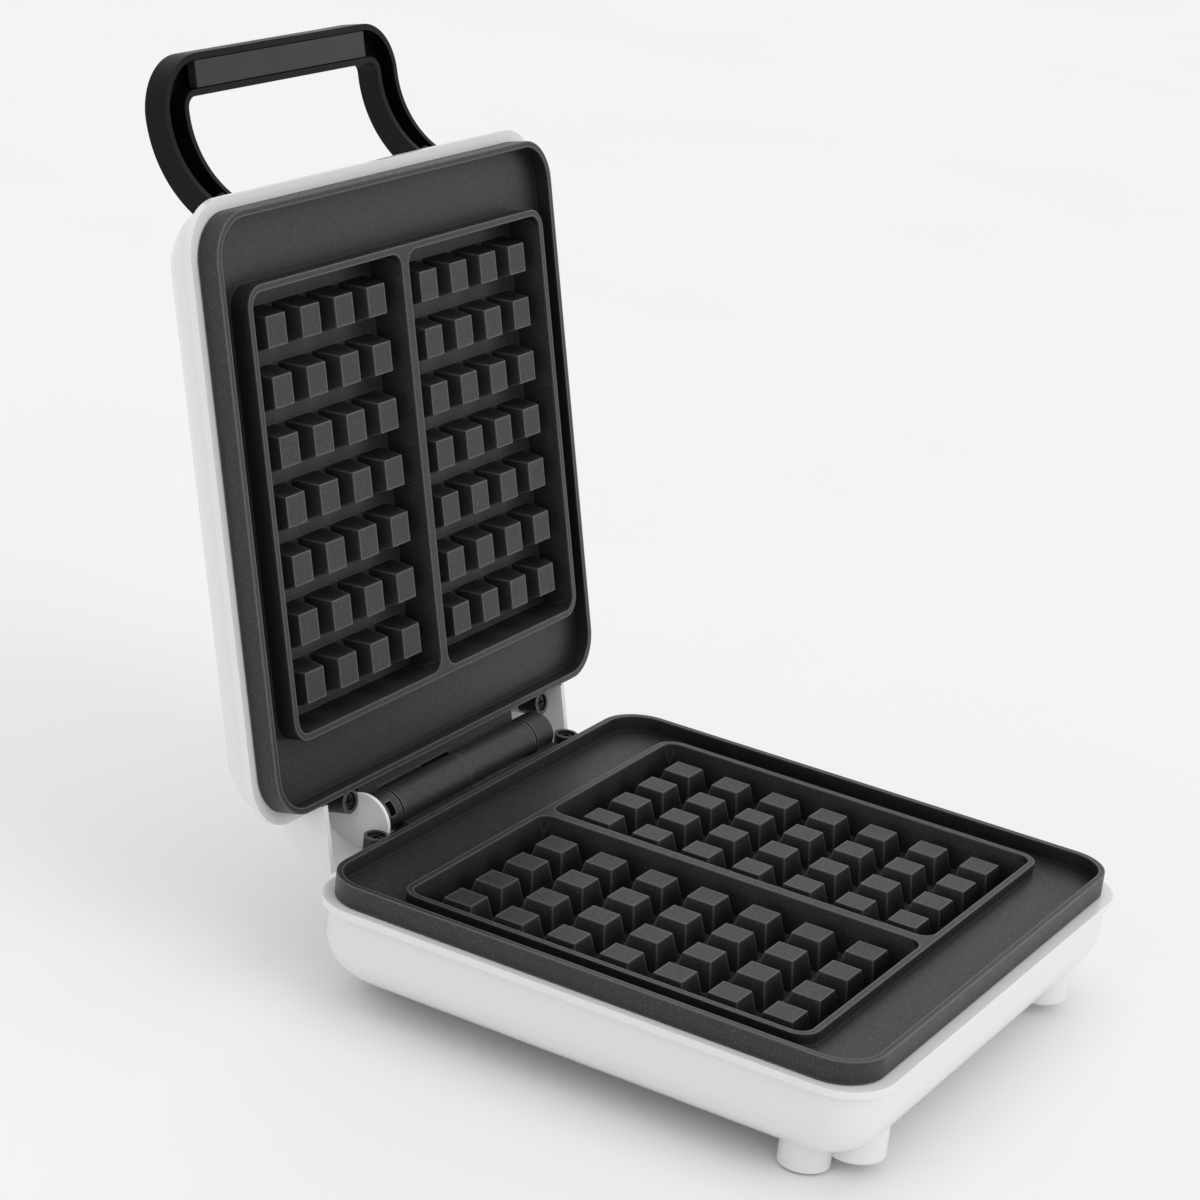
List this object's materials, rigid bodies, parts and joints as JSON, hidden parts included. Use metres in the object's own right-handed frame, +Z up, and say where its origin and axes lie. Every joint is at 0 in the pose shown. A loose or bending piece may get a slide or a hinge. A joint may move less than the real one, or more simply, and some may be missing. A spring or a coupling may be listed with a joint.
{
  "type": "waffle maker",
  "caption": "Hinged waffle maker with paired non-stick grid plates in glossy shells, a loop handle, hollow hinge pins and tubular heating elements.",
  "frame": {"origin": "on the floor, under the middle of the open appliance", "axes": "+X along the hinge to the right seen from the front, +Y from the front towards the hinge, +Z up"},
  "size_m": [0.241, 0.374, 0.339],
  "materials": {
    "white_shell": "glossy white heat-resistant moulding",
    "plate_coating": "cast aluminium with a dark speckled non-stick coating",
    "black_handle": "satin black moulding",
    "grip_insert": "fine-grained black moulding",
    "black_rubber": "soft black rubber",
    "element_sheath": "drawn steel sheath, heat-dulled",
    "ivory_insulator": "ivory heat-resistant insulator",
    "shield_sheet": "plain mill-finish sheet",
    "wire_insulation": "glass-fibre sleeved silicone insulation",
    "red_lens": "clear red moulding",
    "green_lens": "clear green moulding",
    "lamp_glass": "clear glass envelope",
    "black_screw": "blackened steel",
    "screw_steel": "zinc-plated steel"
  },
  "bodies": {
    "base": {"base_shell": "white_shell", "foot_pads": "black_rubber", "lower_waffle_plate": "plate_coating", "lower_heating_element": "element_sheath", "lower_element_insulators": "ivory_insulator", "lower_element_clamps": "screw_steel", "lower_heat_shield": "shield_sheet", "lower_plate_screws": "black_screw", "lower_inner_screws": "screw_steel", "thermostat": "ivory_insulator", "thermal_fuse": "screw_steel", "terminal_block": "ivory_insulator", "terminal_block_screw": "screw_steel", "cord_gland": "black_rubber", "base_wiring": "wire_insulation", "hinge_pin_left": "screw_steel", "hinge_pin_right": "screw_steel"},
    "lid": {"lid_shell": "white_shell", "upper_waffle_plate": "plate_coating", "upper_heating_element": "element_sheath", "upper_element_insulators": "ivory_insulator", "upper_element_clamps": "screw_steel", "upper_heat_shield": "shield_sheet", "upper_plate_screws": "black_screw", "upper_inner_screws": "screw_steel", "handle": "black_handle", "handle_grip_insert": "grip_insert", "handle_screws": "screw_steel", "power_lamp_lens": "red_lens", "ready_lamp_lens": "green_lens", "indicator_lamps": "lamp_glass", "lamp_holder": "ivory_insulator", "lamp_holder_screw": "screw_steel", "lid_wiring": "wire_insulation"}
  },
  "joints": [
    {"name": "lid_hinge", "type": "hinge", "parent": "base", "child": "lid", "pos_m": [0, 0.06451, 0.0554], "axis": [1, 0, 0], "range_deg": [0, 102.8]}
  ]
}
